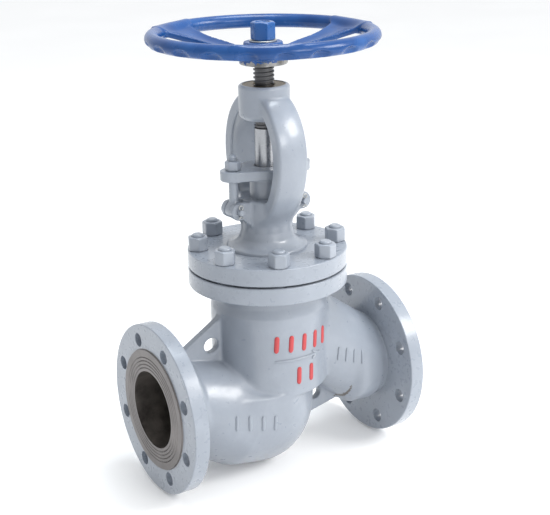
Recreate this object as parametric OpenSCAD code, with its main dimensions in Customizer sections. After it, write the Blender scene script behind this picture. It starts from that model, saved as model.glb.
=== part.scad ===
// Flanged globe valve, DN100 PN16: cast body, bolted bonnet with an outside yoke, rising and turning stem.
// X runs along the flow from the inlet raised face, Z up the stem, Y across. Millimetres.

/* [Connection] */
// Length between the two raised faces
face_to_face = 350; // [340:1:380]
// Bore of both ports
port_d = 100; // [92:1:102]
// Outside diameter of the end flanges
end_flange_d = 220; // [214:1:230]
// Thickness of an end flange, raised face included
end_flange_t = 22; // [18:0.5:26]
// Bolt circle of the end flanges
end_bolt_circle = 180; // [176:1:184]
// Bolt hole of the end flanges
end_bolt_hole = 18; // [14:0.5:20]
// Number of bolts in an end flange
end_bolts = 8; // [4:4:8]
// Diameter of the raised face
raised_face_d = 156; // [140:1:158]
// Height of the raised face
raised_face_h = 2; // [1:0.5:3]

/* [Body] */
// Outside radius of the chest under the bonnet
chest_r = 75.5; // [75:0.5:77]
// Outside radius of the bowl under the seat
bowl_r = 74; // [73:0.5:76]
// Lowest point of the bowl below the port axis
bowl_depth = 112; // [111:1:116]
// Height of the top of the body flange
body_top = 162; // [158:1:168]
// Radius of the bonnet and body flanges
bonnet_flange_r = 102.5; // [100:0.5:108]
// Thickness of the bonnet and body flanges
bonnet_flange_t = 22; // [18:1:24]
// Radius of the bonnet bolt circle
stud_circle_r = 89; // [88:0.5:90]
// Thickness of the bonnet gasket
gasket_t = 2.5; // [1.5:0.5:3.5]

/* [Yoke] */
// Height of the top of the yoke head
head_top = 395; // [390:1:400]
// Height of the yoke head itself
head_h = 43; // [38:1:46]
// Radius of the yoke head
head_r = 32; // [30:0.5:36]
// Widest outside radius of the yoke arms
yoke_r = 69; // [64:0.5:71]
// Half the width of a yoke arm
arm_half_w = 21; // [18:0.5:24]
// Thickness of a yoke arm
arm_t = 16; // [12:0.5:17]

/* [Stem and handwheel] */
// Stem diameter
stem_d = 26; // [24:0.5:27]
// Thread pitch of the stem
stem_pitch = 5; // [4:1:6]
// Height of the handwheel rim's centre line when closed
wheel_z = 454; // [450:1:460]
// Radius of the rim's centre line
wheel_r = 135; // [120:1:150]
// Radius of the rim's round section
rim_r = 9; // [8:0.5:12]
// Number of spokes
spokes = 3; // [3:1:6]

/* [Packing gland] */
// Half the distance between the two gland bolts
gland_bolt_x = 47.5; // [46:0.5:52]
// Diameter of the gland eye bolts
eye_bolt_d = 12; // [10:1:12]
// Height of the underside of the gland flange
gland_z = 279.7; // [276:0.1:284]
// Thickness of the gland flange
gland_t = 12.7; // [10:0.1:14]

/* [Hidden] */
$fn = 64;

slip = 0.05;                              // radial clearance of a running fit
stem_x = face_to_face / 2;                // stem axis
stem_r = stem_d / 2;
port_r = port_d / 2;
port_depth = 47;                          // straight bore behind each port
outlet_ream = 0.5;                        // how much wider the outlet flange's bolt holes are drilled

// body
bridge_z = 16;                            // underside of the bridge that holds the seat
floor_z = 28;                             // floor of the upper chamber
chamber_r = 62;                           // upper chamber
bowl_x = -20;                             // bowl centre, from the stem axis
cavity_x = -27;                           // hollow under the seat
cavity_r = 56;
cavity_z = -46;
chest_z = 3;                              // lower edge of the chest
neck_r = 72;                              // neck between the chest and the body flange
limb_x = 140;                             // where a limb turns towards its knee
limb_r = 60;                              // limb radius at its end flange
inlet_knee = [-62, -30];                  // X and Z of the swollen end of the inlet limb
inlet_knee_r = 72;
outlet_end = [20, 80];                    // X and Z of the outlet limb's end inside the chest
outlet_limb_r = 57;
rib_t = 12;

// seat and disc
seat_r = 43;                              // seat orifice
seat_ring_r = 54;
seat_top = 34;
disc_r = 50;
disc_z = seat_top + 0.1;
disc_t = 20;
disc_boss_r = 29;
pocket_r = 20;                            // pocket for the stem head
pocket_z = disc_z + disc_t;
pocket_h = 22;

// bonnet
bonnet_z = body_top + gasket_t;
bonnet_top = bonnet_z + bonnet_flange_t;
neck_top = 252;
box_r = 21;                               // stuffing box bore
box_z = 200;
box_neck_r = 33;
packing_washer_t = 4;
packing_t = 8;                            // height of one packing ring
packing_count = 5;
pad_r = 52;
bush_r = 20;
bush_flange_r = 24;
bush_flange_h = 8;
bush_h = 28;
bush_z = bonnet_z - bush_flange_h;
studs = 8;
stud_d = 16;
stud_hole_r = 9;
stud_depth = 20;                          // thread engaged in the body flange
nut_af = 24;
nut_h = 18;
stud_proud = 3.5;

// yoke
yoke_z = 308;                             // height of the widest point of the arms
yoke_down = 92;                           // how far the arms' outer curve reaches below and above it
yoke_up = 82;
arm_end = 66;                             // angle at which the arm curves end
arm_step = 11;                            // angle between two points of an arm curve
arm_foot_t = 14;                          // thickness of an arm at its foot and under the head
arm_top_t = 16;
yoke_nut_r = 20;
yoke_nut_flange_r = 27;
yoke_nut_flange_t = 5;
nut_screw_x = 23.5;                       // set screws on the seam between the yoke nut and the head
nut_screw_r = 2.5;

// gland
pin_z = 241;                              // eye bolt pins
pin_r = 4;
eye_r = 10.5;
eye_w = 12;
cheek_t = 8;
cheek_gap = 12.6;
cheek_r = 11;
eye_bolt_top = 311.4;
gland_nut_af = 18;
gland_nut_h = 12;
follower_collar_r = 27;
follower_collar_h = 4;
follower_z = box_z + packing_washer_t + packing_count * packing_t;
gland_end_r = 16.5;
gland_mid_r = 32;

// stem and handwheel
lift = 5 * stem_pitch;                    // full travel of the disc
head_z = pocket_z + 0.2;                  // stem head in the disc
stem_head_r = 16;
stem_head_h = 8;
groove_h = 8;
groove_r = 10;
cover_z = head_z + stem_head_h + groove_h - 0.4;
collar_z = bush_z - lift - 0.6;           // top of the collar that meets the back seat when open
collar_r = 17;
collar_h = 10;
hub_z = 420;                              // underside of the handwheel hub
hub_r = 30;
hub_h = 27;
square_w = 18;
wheel_nut_af = 27;
wheel_nut_h = 22;
washer_t = 2;
wheel_thread_r = 8.9;                     // thread that carries the handwheel nut
stem_top = hub_z + hub_h + washer_t + wheel_nut_h - 1;

// ---- helpers ----
module at_stem(z = 0) { translate([stem_x, 0, z]) children(); }

// a cylinder from p to q, both [x, z] in the stem plane, with radius ra at p and rb at q
module limb(p, q, ra, rb) {
    d = q - p;
    translate([p[0], 0, p[1]]) rotate([0, atan2(d[0], d[1]), 0]) cylinder(r1 = ra, r2 = rb, h = norm(d));
}

// a limb whose far end is closed by a dome
module domed_limb(p, q, ra, rb) {
    d = q - p;
    len = norm(d);
    dome = [for (a = [0 : 11.25 : 78.75]) [rb * cos(a), len + rb * sin(a)]];
    translate([p[0], 0, p[1]]) rotate([0, atan2(d[0], d[1]), 0])
        rotate_extrude() polygon(concat([[0, 0], [ra, 0]], dome, [[0, len + rb]]));
}

module ring(r_out, r_in, h) {
    difference() {
        cylinder(r = r_out, h = h);
        translate([0, 0, -1]) cylinder(r = r_in, h = h + 2);
    }
}

module round_the_circle(count, r, first = 0) {
    for (i = [0 : count - 1]) rotate(first + i * 360 / count) translate([r, 0, 0]) children();
}

// hexagon nut with its flats facing outward, chamfered at the top
module hex_nut(af, h, bore_r) {
    corner_r = af / 2 / cos(30);
    difference() {
        intersection() {
            rotate(30) cylinder(r = corner_r, h = h, $fn = 6);
            union() {
                cylinder(r = corner_r + 1, h = h - 2);
                translate([0, 0, h - 2]) cylinder(r1 = corner_r + 0.4, r2 = af / 2 - 0.6, h = 2);
            }
        }
        translate([0, 0, -1]) cylinder(r = bore_r, h = h + 2);
    }
}

// ---- body ----
module chest() {
    flange_z = body_top - bonnet_flange_t;
    rotate_extrude() polygon([[0, chest_z], [chest_r - 5, chest_z], [chest_r, chest_z + 5],
        [chest_r, flange_z - 28], [neck_r, flange_z - 16], [neck_r, flange_z],
        [bonnet_flange_r - 1, flange_z], [bonnet_flange_r, flange_z + 1],
        [bonnet_flange_r, body_top - 1], [bonnet_flange_r - 1, body_top], [0, body_top]]);
}

module bowl() {
    shoulder_z = -25;
    deep = bowl_depth + shoulder_z;
    below = [for (a = [0 : 7.5 : 82.5]) [bowl_r * pow(cos(a), 1.3), shoulder_z - deep * sin(a)]];
    translate([bowl_x, 0, 0])
        rotate_extrude() polygon(concat([[0, chest_z + 6], [bowl_r, chest_z + 6]], below, [[0, -bowl_depth]]));
}

module end_flange(x, side) {
    translate([x, 0, 0]) rotate([0, side * 90, 0]) rotate_extrude() polygon([[0, -end_flange_t],
        [limb_r + 6, -end_flange_t], [end_flange_d / 2 - 1, -end_flange_t],
        [end_flange_d / 2, 1 - end_flange_t], [end_flange_d / 2, -raised_face_h - 1],
        [end_flange_d / 2 - 1, -raised_face_h], [raised_face_d / 2, -raised_face_h],
        [raised_face_d / 2, 0], [0, 0]]);
}

module end_bolt_holes(x, hole_r) {
    translate([x, 0, 0]) rotate([0, 90, 0]) round_the_circle(end_bolts, end_bolt_circle / 2, 180 / end_bolts)
        cylinder(r = hole_r, h = end_flange_t + 2);
}

// web between the chest and the inlet limb, and between the bowl and the outlet limb
module ribs() {
    at_stem() rotate([90, 0, 0]) translate([0, 0, -rib_t / 2]) linear_extrude(rib_t) {
        difference() {
            polygon([[-156, 40], [-156, 53], [-71, 107], [-60, 107], [-60, 40]]);
            translate([-90, 69]) circle(r = 10);
        }
        difference() {
            polygon([[30, -10], [30, -66], [52, -66], [128, -48], [128, -20], [80, -10]]);
            translate([68, -38]) circle(r = 9);
        }
    }
}

module passages() {
    translate([-1, 0, 0]) rotate([0, 90, 0]) cylinder(r = port_r, h = port_depth + 1);
    translate([face_to_face - port_depth, 0, 0]) rotate([0, 90, 0]) cylinder(r = port_r, h = port_depth + 1);
    at_stem() {
        limb([-133, 0], [-40, cavity_z], port_r - 1, port_r - 2);
        translate([cavity_x, 0, cavity_z]) sphere(r = cavity_r);
        translate([0, 0, cavity_z]) cylinder(r = seat_r - 1, h = bridge_z - cavity_z + 1);
        intersection() {
            limb([133, 0], outlet_end, port_r - 1, port_r - 3);
            union() {
                translate([chamber_r - 1, -80, -80]) cube([100, 160, 240]);
                translate([0, -80, floor_z]) cube([100, 160, 130]);
            }
        }
        translate([0, 0, bridge_z]) cylinder(r = seat_ring_r, h = floor_z - bridge_z + 1);
        translate([0, 0, floor_z]) cylinder(r = chamber_r, h = body_top - floor_z + 1);
    }
}

module valve_body() color("silver") difference() {
    union() {
        at_stem() {
            chest();
            bowl();
            domed_limb([-limb_x, 0], inlet_knee, limb_r - 1.5, inlet_knee_r);
            limb([-stem_x + raised_face_h + 2, 0], [10 - limb_x, 0], limb_r, limb_r);
            limb([limb_x - 4, 0], outlet_end, outlet_limb_r, outlet_limb_r + 1);
            limb([stem_x - raised_face_h - 2, 0], [limb_x - 14, 0], limb_r, limb_r - 1);
        }
        end_flange(0, -1);
        end_flange(face_to_face, 1);
        ribs();
    }
    passages();
    end_bolt_holes(-1, end_bolt_hole / 2);
    end_bolt_holes(face_to_face - end_flange_t - 1, (end_bolt_hole + outlet_ream) / 2);
    at_stem(body_top - stud_depth) round_the_circle(studs, stud_circle_r, 180 / studs)
        cylinder(r = stud_d / 2, h = stud_depth + 1);
}

module seat_ring() color("gainsboro") at_stem(bridge_z) rotate_extrude() polygon([[seat_r, 0],
    [seat_ring_r, 0], [seat_ring_r, floor_z - bridge_z], [seat_ring_r + 4, floor_z - bridge_z],
    [seat_ring_r + 4, seat_top - bridge_z - 1], [seat_ring_r + 3, seat_top - bridge_z],
    [seat_r + 2, seat_top - bridge_z], [seat_r, seat_top - bridge_z - 2]]);

module bonnet_gasket() color("dimgray") at_stem(body_top)
    ring(stud_circle_r - stud_hole_r - 1, chamber_r + 2, gasket_t);

// ---- bonnet with its yoke ----
module yoke_arms() {
    up_or_down = function(a, down, up) (a < 0 ? down : up) * sin(a);
    outer = [for (a = [-arm_end : arm_step : arm_end])
        [yoke_r * cos(a), yoke_z + up_or_down(a, yoke_down, yoke_up)]];
    inner = [for (a = [arm_end : -arm_step : -arm_end])
        [(yoke_r - arm_t) * cos(a), yoke_z + up_or_down(a, yoke_down - arm_foot_t, yoke_up - arm_top_t)]];
    intersection() {
        rotate_extrude() polygon(concat(outer, inner));
        translate([-arm_half_w, -yoke_r - 2, box_z]) cube([2 * arm_half_w, 2 * yoke_r + 4, head_top - box_z]);
    }
}

// pairs of cheeks that carry the eye bolt pins
module gland_cheeks() {
    for (side = [-1, 1], near = [-1, 1]) {
        y0 = near > 0 ? cheek_gap / 2 : -cheek_gap / 2 - cheek_t;
        translate([0, y0 + cheek_t, 0]) rotate([90, 0, 0]) linear_extrude(cheek_t) {
            polygon([[side * 26, 213], [side * (gland_bolt_x - 4), pin_z - cheek_r + 1],
                [side * (gland_bolt_x + 3), pin_z - cheek_r + 1], [side * gland_bolt_x, pin_z + cheek_r],
                [side * 26, neck_top - 0.5]]);
            translate([side * gland_bolt_x, pin_z]) circle(r = cheek_r);
        }
    }
}

module bonnet() color("silver") at_stem() difference() {
    union() {
        rotate_extrude() polygon([[0, bonnet_z - 12], [chamber_r - 1, bonnet_z - 12],
            [chamber_r - 0.2, bonnet_z - 11], [chamber_r - 0.2, bonnet_z],
            [bonnet_flange_r - 1, bonnet_z], [bonnet_flange_r, bonnet_z + 1],
            [bonnet_flange_r, bonnet_top - 1], [bonnet_flange_r - 1, bonnet_top], [pad_r + 2, bonnet_top],
            [pad_r, bonnet_top + 3.5], [pad_r - 8, bonnet_top + 4], [box_neck_r + 4, bonnet_top + 11],
            [box_neck_r, bonnet_top + 20], [box_neck_r, neck_top - 1], [box_neck_r - 1, neck_top],
            [0, neck_top]]);
        yoke_arms();
        translate([0, 0, head_top - head_h]) rotate_extrude() polygon([[0, 0], [head_r - 3, 0],
            [head_r, 3], [head_r, head_h - 1.5], [head_r - 1.5, head_h], [0, head_h]]);
        gland_cheeks();
    }
    translate([0, 0, bonnet_z - 13]) cylinder(r1 = 48, r2 = bush_flange_r + 6, h = 13);
    translate([0, 0, bush_z]) cylinder(r = bush_flange_r, h = bush_flange_h);
    translate([0, 0, bush_z]) cylinder(r = bush_r, h = bush_h);
    translate([0, 0, bush_z]) cylinder(r = stem_r + 0.8, h = 100);
    translate([0, 0, box_z]) cylinder(r = box_r, h = 100);
    translate([0, 0, head_top - head_h - 10]) cylinder(r = yoke_nut_r, h = head_h + 20);
    translate([0, 0, head_top - yoke_nut_flange_t]) cylinder(r = yoke_nut_flange_r, h = 20);
    for (side = [-1, 1]) {
        translate([side * nut_screw_x, 0, head_top - 20]) cylinder(r = nut_screw_r, h = 20);
        translate([side * gland_bolt_x, 30, pin_z]) rotate([90, 0, 0]) cylinder(r = pin_r, h = 60);
    }
    translate([0, 0, bonnet_z - 1]) round_the_circle(studs, stud_circle_r, 180 / studs)
        cylinder(r = stud_hole_r, h = bonnet_flange_t + 2);
}

module backseat_bushing() color("goldenrod") at_stem(bush_z) difference() {
    union() {
        cylinder(r = bush_flange_r, h = bush_flange_h);
        cylinder(r = bush_r, h = bush_h);
    }
    translate([0, 0, -1]) cylinder(r = stem_r + 0.1, h = 40);
    translate([0, 0, -1]) cylinder(r1 = stem_r + 4, r2 = stem_r + 0.1, h = 4);
}

module bonnet_studs() {
    stud_h = stud_depth + gasket_t + bonnet_flange_t + nut_h + stud_proud;
    color("silver") at_stem(body_top - stud_depth) round_the_circle(studs, stud_circle_r, 180 / studs)
        rotate_extrude() polygon([[0, 0], [stud_d / 2 - 1.5, 0], [stud_d / 2, 1.5],
            [stud_d / 2, stud_h - 1.5], [stud_d / 2 - 1.5, stud_h], [0, stud_h]]);
}

module bonnet_nuts() color("silver") at_stem(bonnet_top)
    round_the_circle(studs, stud_circle_r, 180 / studs) hex_nut(nut_af, nut_h, stud_d / 2);

// ---- stuffing box and gland ----
module packing_washer() color("gainsboro") at_stem(box_z) ring(box_r, stem_r + 0.3, packing_washer_t);

module packing_rings() color("dimgray") at_stem(box_z + packing_washer_t)
    for (i = [0 : packing_count - 1]) translate([0, 0, i * packing_t]) ring(box_r, stem_r + slip, packing_t);

module gland_follower() color("silver") at_stem() difference() {
    union() {
        translate([0, 0, follower_z]) cylinder(r = box_r - slip, h = gland_z + 6 - follower_z);
        translate([0, 0, gland_z - follower_collar_h]) cylinder(r = follower_collar_r, h = follower_collar_h);
    }
    cylinder(r = stem_r + 0.3, h = 400);
}

module gland_flange() color("silver") at_stem(gland_z) difference() {
    union() {
        cylinder(r = gland_mid_r, h = gland_t);
        linear_extrude(gland_t) for (side = [-1, 1]) {
            translate([side * gland_bolt_x, 0]) circle(r = gland_end_r);
            polygon([[0, -gland_mid_r + 0.5], [side * (gland_bolt_x + 4), -gland_end_r + 0.6],
                [side * (gland_bolt_x + 4), gland_end_r - 0.6], [0, gland_mid_r - 0.5]]);
        }
    }
    translate([0, 0, -1]) cylinder(r = stem_r + 1.5, h = gland_t + 2);
    translate([0, 0, -1]) cylinder(r = box_r, h = 7);
    for (side = [-1, 1]) translate([side * gland_bolt_x, 0, -1])
        cylinder(r = eye_bolt_d / 2 + 0.8, h = gland_t + 2);
}

module eye_bolt(side) color("silver") at_stem() translate([side * gland_bolt_x, 0, 0]) difference() {
    union() {
        translate([0, eye_w / 2, pin_z]) rotate([90, 0, 0]) cylinder(r = eye_r, h = eye_w);
        translate([0, 0, pin_z]) cylinder(r = eye_bolt_d / 2, h = eye_bolt_top - pin_z - 1.5);
        translate([0, 0, eye_bolt_top - 1.5])
            cylinder(r1 = eye_bolt_d / 2, r2 = eye_bolt_d / 2 - 1.5, h = 1.5);
    }
    translate([0, eye_w, pin_z]) rotate([90, 0, 0]) cylinder(r = pin_r + slip, h = 2 * eye_w);
}
module eye_bolt_inlet() { eye_bolt(-1); }
module eye_bolt_outlet() { eye_bolt(1); }

module gland_nut(side) color("silver") at_stem(gland_z + gland_t) translate([side * gland_bolt_x, 0, 0])
    hex_nut(gland_nut_af, gland_nut_h, eye_bolt_d / 2 + slip);
module gland_nut_inlet() { gland_nut(-1); }
module gland_nut_outlet() { gland_nut(1); }

module eye_bolt_pins() color("silver") at_stem(pin_z) for (side = [-1, 1]) {
    half = cheek_gap / 2 + cheek_t;
    translate([side * gland_bolt_x, half + 3, 0]) rotate([90, 0, 0]) difference() {
        union() {
            cylinder(r = pin_r, h = 2 * half + 9);
            cylinder(r = pin_r + 4, h = 3);
        }
        translate([0, 10, 2 * half + 6]) rotate([90, 0, 0]) cylinder(r = 1.3, h = 20);
    }
}

module cotter_pins() color("gainsboro") at_stem(pin_z) for (side = [-1, 1])
    translate([side * gland_bolt_x, -cheek_gap / 2 - cheek_t - 3, 0]) {
        translate([0, 0, -8]) cylinder(r = 1.2, h = 14);
        translate([0, 0, 7.5]) rotate([90, 0, 0]) translate([0, 0, -1]) ring(3, 1.2, 2);
    }

// ---- yoke nut ----
module yoke_nut() color("goldenrod") at_stem(head_top - head_h) difference() {
    union() {
        cylinder(r = yoke_nut_r, h = head_h);
        translate([0, 0, head_h - yoke_nut_flange_t])
            cylinder(r = yoke_nut_flange_r, h = yoke_nut_flange_t - 0.5);
    }
    translate([0, 0, -1]) cylinder(r = stem_r + slip, h = head_h + 2);
    for (side = [-1, 1]) translate([side * nut_screw_x, 0, head_h - 10]) cylinder(r = nut_screw_r, h = 20);
}

module yoke_nut_screws() color("dimgray") at_stem(head_top - 18) for (side = [-1, 1])
    translate([side * nut_screw_x, 0, 0]) difference() {
        cylinder(r = nut_screw_r, h = 17);
        translate([-3, -0.4, 15.5]) cube([6, 0.8, 3]);
    }

// ---- stem, handwheel and disc ----
module stem() color("gray") at_stem() difference() {
    rotate_extrude() polygon([[0, head_z], [stem_head_r - 2, head_z], [stem_head_r, head_z + 2],
        [stem_head_r, head_z + stem_head_h], [groove_r, head_z + stem_head_h],
        [groove_r, head_z + stem_head_h + groove_h], [stem_r, head_z + stem_head_h + groove_h],
        [stem_r, collar_z - collar_h], [collar_r, collar_z - collar_h + 4],
        [collar_r, collar_z - 4], [stem_r, collar_z], [stem_r, hub_z],
        [stem_r - 1, hub_z], [stem_r - 1, hub_z + hub_h - 1], [wheel_thread_r, hub_z + hub_h - 1],
        [wheel_thread_r, stem_top - 1.5], [wheel_thread_r - 1.5, stem_top], [0, stem_top]]);
    for (a = [0 : 90 : 270]) rotate(a) translate([square_w / 2, -20, hub_z]) cube([20, 40, hub_h - 1]);
}

module spoke() {
    inner_z = hub_z + 10;
    rise = wheel_z - inner_z - 8;
    run = wheel_r - hub_r + 14;
    translate([hub_r - 10, 0, inner_z]) rotate([0, -atan2(rise, run), 0]) linear_extrude(8)
        polygon([[0, -11], [norm([rise, run]), -22], [norm([rise, run]), 22], [0, 11]]);
}

module handwheel() color("royalblue") at_stem() difference() {
    union() {
        translate([0, 0, wheel_z]) rotate_extrude() translate([wheel_r, 0]) circle(r = rim_r);
        translate([0, 0, hub_z]) cylinder(r = hub_r, h = 11);
        translate([0, 0, hub_z + 10]) cylinder(r1 = hub_r - 2, r2 = hub_r - 6, h = hub_h - 10);
        intersection() {
            for (i = [0 : spokes - 1]) rotate(i * 360 / spokes) spoke();
            cylinder(r = wheel_r - 2, h = 600);
        }
    }
    translate([-square_w / 2, -square_w / 2, hub_z - 1]) cube([square_w, square_w, hub_h + 2]);
}

module handwheel_washer() color("gainsboro") at_stem(hub_z + hub_h) ring(17, wheel_thread_r + 0.5, washer_t);

module handwheel_nut() color("royalblue") at_stem(hub_z + hub_h + washer_t) rotate(20)
    hex_nut(wheel_nut_af, wheel_nut_h, wheel_thread_r);

module disc() color("gainsboro") at_stem(disc_z) difference() {
    rotate_extrude() polygon([[0, -6], [seat_r - 4, -6], [seat_r - 2, 0], [disc_r - 1, 0], [disc_r, 1],
        [disc_r, disc_t - 6], [disc_boss_r + 6, disc_t - 1], [disc_boss_r, disc_t + 2],
        [disc_boss_r, disc_t + pocket_h], [0, disc_t + pocket_h]]);
    translate([0, 0, disc_t]) cylinder(r = pocket_r, h = pocket_h + 1);
}

module thrust_ring() color("silver") at_stem(head_z + stem_head_h + 0.2) difference() {
    ring(pocket_r - 0.3, groove_r + 0.3, groove_h - 0.8);
    translate([-30, -0.4, -1]) cube([60, 0.8, 20]);
}

module disc_cover() color("gainsboro") at_stem(cover_z) {
    plug_h = pocket_z + pocket_h - cover_z;
    difference() {
        union() {
            cylinder(r = pocket_r, h = plug_h);
            translate([0, 0, plug_h]) cylinder(r = disc_boss_r - 1, h = 8);
        }
        translate([0, 0, -1]) cylinder(r = stem_r + 0.4, h = 40);
    }
}

valve_body();
seat_ring();
bonnet_gasket();
bonnet();
backseat_bushing();
bonnet_studs();
bonnet_nuts();
packing_washer();
packing_rings();
gland_follower();
gland_flange();
eye_bolt_inlet();
eye_bolt_outlet();
gland_nut_inlet();
gland_nut_outlet();
eye_bolt_pins();
cotter_pins();
yoke_nut();
yoke_nut_screws();
stem();
handwheel();
handwheel_washer();
handwheel_nut();
disc();
disc_cover();
thrust_ring();
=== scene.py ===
import math

import bmesh
import bpy
import numpy as np
from mathutils import Matrix, Vector
from mathutils.bvhtree import BVHTree


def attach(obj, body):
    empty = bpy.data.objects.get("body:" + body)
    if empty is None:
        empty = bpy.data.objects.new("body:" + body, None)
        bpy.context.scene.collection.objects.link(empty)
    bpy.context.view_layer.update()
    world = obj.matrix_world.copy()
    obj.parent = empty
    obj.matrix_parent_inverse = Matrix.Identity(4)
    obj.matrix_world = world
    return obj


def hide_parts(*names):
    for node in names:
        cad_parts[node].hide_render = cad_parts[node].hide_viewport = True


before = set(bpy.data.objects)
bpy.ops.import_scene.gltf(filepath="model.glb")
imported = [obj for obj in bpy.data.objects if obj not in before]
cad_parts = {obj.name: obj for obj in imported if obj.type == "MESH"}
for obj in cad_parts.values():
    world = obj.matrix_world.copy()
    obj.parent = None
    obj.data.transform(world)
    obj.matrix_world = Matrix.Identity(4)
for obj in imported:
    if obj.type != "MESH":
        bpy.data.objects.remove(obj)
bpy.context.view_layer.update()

MM = 0.001
STEM_X = 175.0  # stem axis, from the inlet raised face; shapes below are in mm from this axis

# ------------------------------------------------------------------ camera and studio


def look_from(place, yaw, pitch, roll):
    yaw, pitch, roll = (math.radians(a) for a in (yaw, pitch, roll))
    ahead = Vector((math.cos(pitch) * math.sin(yaw), math.cos(pitch) * math.cos(yaw), -math.sin(pitch)))
    right = Vector((math.cos(yaw), -math.sin(yaw), 0))
    up = right.cross(ahead)
    across = right * math.cos(roll) + up * math.sin(roll)
    above = up * math.cos(roll) - right * math.sin(roll)
    rows = [(across[i], above[i], -ahead[i], place[i]) for i in range(3)]
    return Matrix((*rows, (0, 0, 0, 1)))


camera = bpy.data.objects.new("camera", bpy.data.cameras.new("camera"))
bpy.context.scene.collection.objects.link(camera)
camera.matrix_world = look_from((-0.6064, -1.2728, 0.6699), 31.92, 18.55, -1.05)
camera.data.sensor_width = 36
camera.data.lens = 79.9
camera.data.clip_end = 60
bpy.context.scene.camera = camera


def softbox(name, place, aim, size, power, tint=(1, 1, 1)):
    light = bpy.data.lights.new(name, "AREA")
    light.shape = "RECTANGLE"
    light.size, light.size_y = size
    light.energy = power
    light.color = tint
    lamp = bpy.data.objects.new(name, light)
    bpy.context.scene.collection.objects.link(lamp)
    lamp.location = place
    lamp.rotation_euler = (Vector(aim) - Vector(place)).to_track_quat("-Z", "Y").to_euler()


CENTRE = (0.18, 0.0, 0.15)
softbox("key", (1.5, -1.5, 1.5), CENTRE, (0.9, 0.9), 34, (1.0, 0.985, 0.96))
softbox("front", (0.35, -1.9, 1.0), CENTRE, (0.6, 0.5), 9, (1.0, 0.99, 0.98))
softbox("top", (0.45, 0.1, 2.0), CENTRE, (0.7, 0.9), 22, (0.90, 0.96, 1.0))

world = bpy.data.worlds.new("studio")
bpy.context.scene.world = world
world.use_nodes = True
world.node_tree.nodes["Background"].inputs["Color"].default_value = (0.97, 0.985, 1.0, 1)
sky = world.node_tree.nodes
direction = sky.new("ShaderNodeTexCoord").outputs["Generated"]
split_sky = sky.new("ShaderNodeSeparateXYZ")
shade = sky.new("ShaderNodeMapRange")
for index, value in enumerate((-0.85, -0.05, 0.62, 1.0)):  # a little dimmer towards the inlet side
    shade.inputs[index + 1].default_value = value
for source, target in ((direction, split_sky.inputs[0]), (split_sky.outputs[0], shade.inputs[0]),
                       (shade.outputs[0], sky["Background"].inputs["Strength"])):
    world.node_tree.links.new(source, target)
bpy.context.scene.view_settings.view_transform = "Standard"

# ------------------------------------------------------------------ materials


class Nodes:
    """A short way to write a material's node tree."""

    def __init__(self, name):
        self.material = bpy.data.materials.new(name)
        self.material.use_nodes = True
        self.tree = self.material.node_tree
        self.shader = self.tree.nodes["Principled BSDF"]
        self.place = self.add("ShaderNodeTexCoord").outputs["Object"]

    def add(self, kind, links=None, **values):
        node = self.tree.nodes.new(kind)
        for key, value in values.items():
            if hasattr(node, key):
                setattr(node, key, value)
            else:
                node.inputs[key.replace("_", " ")].default_value = value
        for key, source in (links or {}).items():
            self.tree.links.new(source, node.inputs[key])
        return node

    def noise(self, scale, detail=3.0, rough=0.5, vector=None):
        node = self.add("ShaderNodeTexNoise", {"Vector": vector or self.place}, Scale=scale, Detail=detail)
        node.inputs["Roughness"].default_value = rough
        return node.outputs["Fac"]

    def math(self, operation, a, b=None):
        node = self.add("ShaderNodeMath", operation=operation)
        for i, value in enumerate((a, b)):
            if isinstance(value, (int, float)):
                node.inputs[i].default_value = value
            elif value is not None:
                self.tree.links.new(value, node.inputs[i])
        return node.outputs[0]

    def spread(self, value, low, high, out_low, out_high):
        node = self.add("ShaderNodeMapRange", {"Value": value})
        for i, v in enumerate((low, high, out_low, out_high)):
            node.inputs[i + 1].default_value = v
        return node.outputs["Result"]

    def ramp(self, value, *stops):
        node = self.add("ShaderNodeValToRGB", {"Fac": value})
        while len(node.color_ramp.elements) < len(stops):
            node.color_ramp.elements.new(0.5)
        for element, (at, colour) in zip(node.color_ramp.elements, stops):
            element.position = at
            element.color = (*colour, 1)
        return node.outputs["Color"]

    def mix(self, factor, a, b):
        node = self.add("ShaderNodeMix", data_type="RGBA")
        for i, value in ((0, factor), (6, a), (7, b)):
            if isinstance(value, tuple):
                node.inputs[i].default_value = (*value, 1)
            elif isinstance(value, (int, float)):
                node.inputs[i].default_value = value
            else:
                self.tree.links.new(value, node.inputs[i])
        return node.outputs[2]

    def bump(self, *layers):
        normal = None
        for height, strength, distance in layers:
            links = {"Height": height}
            if normal:
                links["Normal"] = normal
            node = self.add("ShaderNodeBump", links, Strength=strength, Distance=distance)
            normal = node.outputs["Normal"]
        self.tree.links.new(normal, self.shader.inputs["Normal"])

    def set(self, **values):
        for key, value in values.items():
            socket = self.shader.inputs[key.replace("_", " ")]
            if isinstance(value, tuple):
                socket.default_value = (*value, 1)
            elif isinstance(value, (int, float)):
                socket.default_value = value
            else:
                self.tree.links.new(value, socket)
        return self.material


def paint(name, colour, waviness, grain, roughness, coat=0.40):
    """Enamel over metal: waviness is the casting's unevenness under it, grain its fine texture."""
    n = Nodes(name)
    pale = tuple(min(1, c * 1.07 + 0.008) for c in colour)
    dull = tuple(c * 0.95 for c in colour)
    blotch = n.noise(22, 4, 0.6)
    base = n.ramp(blotch, (0.3, dull), (0.5, colour), (0.72, pale))
    speck = n.spread(n.noise(700, 2), 0.70, 0.80, 0, 0.05)
    base = n.mix(speck, base, tuple(c * 0.7 for c in colour))
    n.bump((n.noise(75, 2), waviness, 0.0012), (n.noise(420, 3), grain, 0.0003))
    rough = n.spread(n.noise(130, 3), 0.3, 0.7, roughness - 0.06, roughness + 0.08)
    return n.set(Base_Color=base, Roughness=rough, Coat_Weight=coat, Coat_Roughness=0.18)


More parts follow.
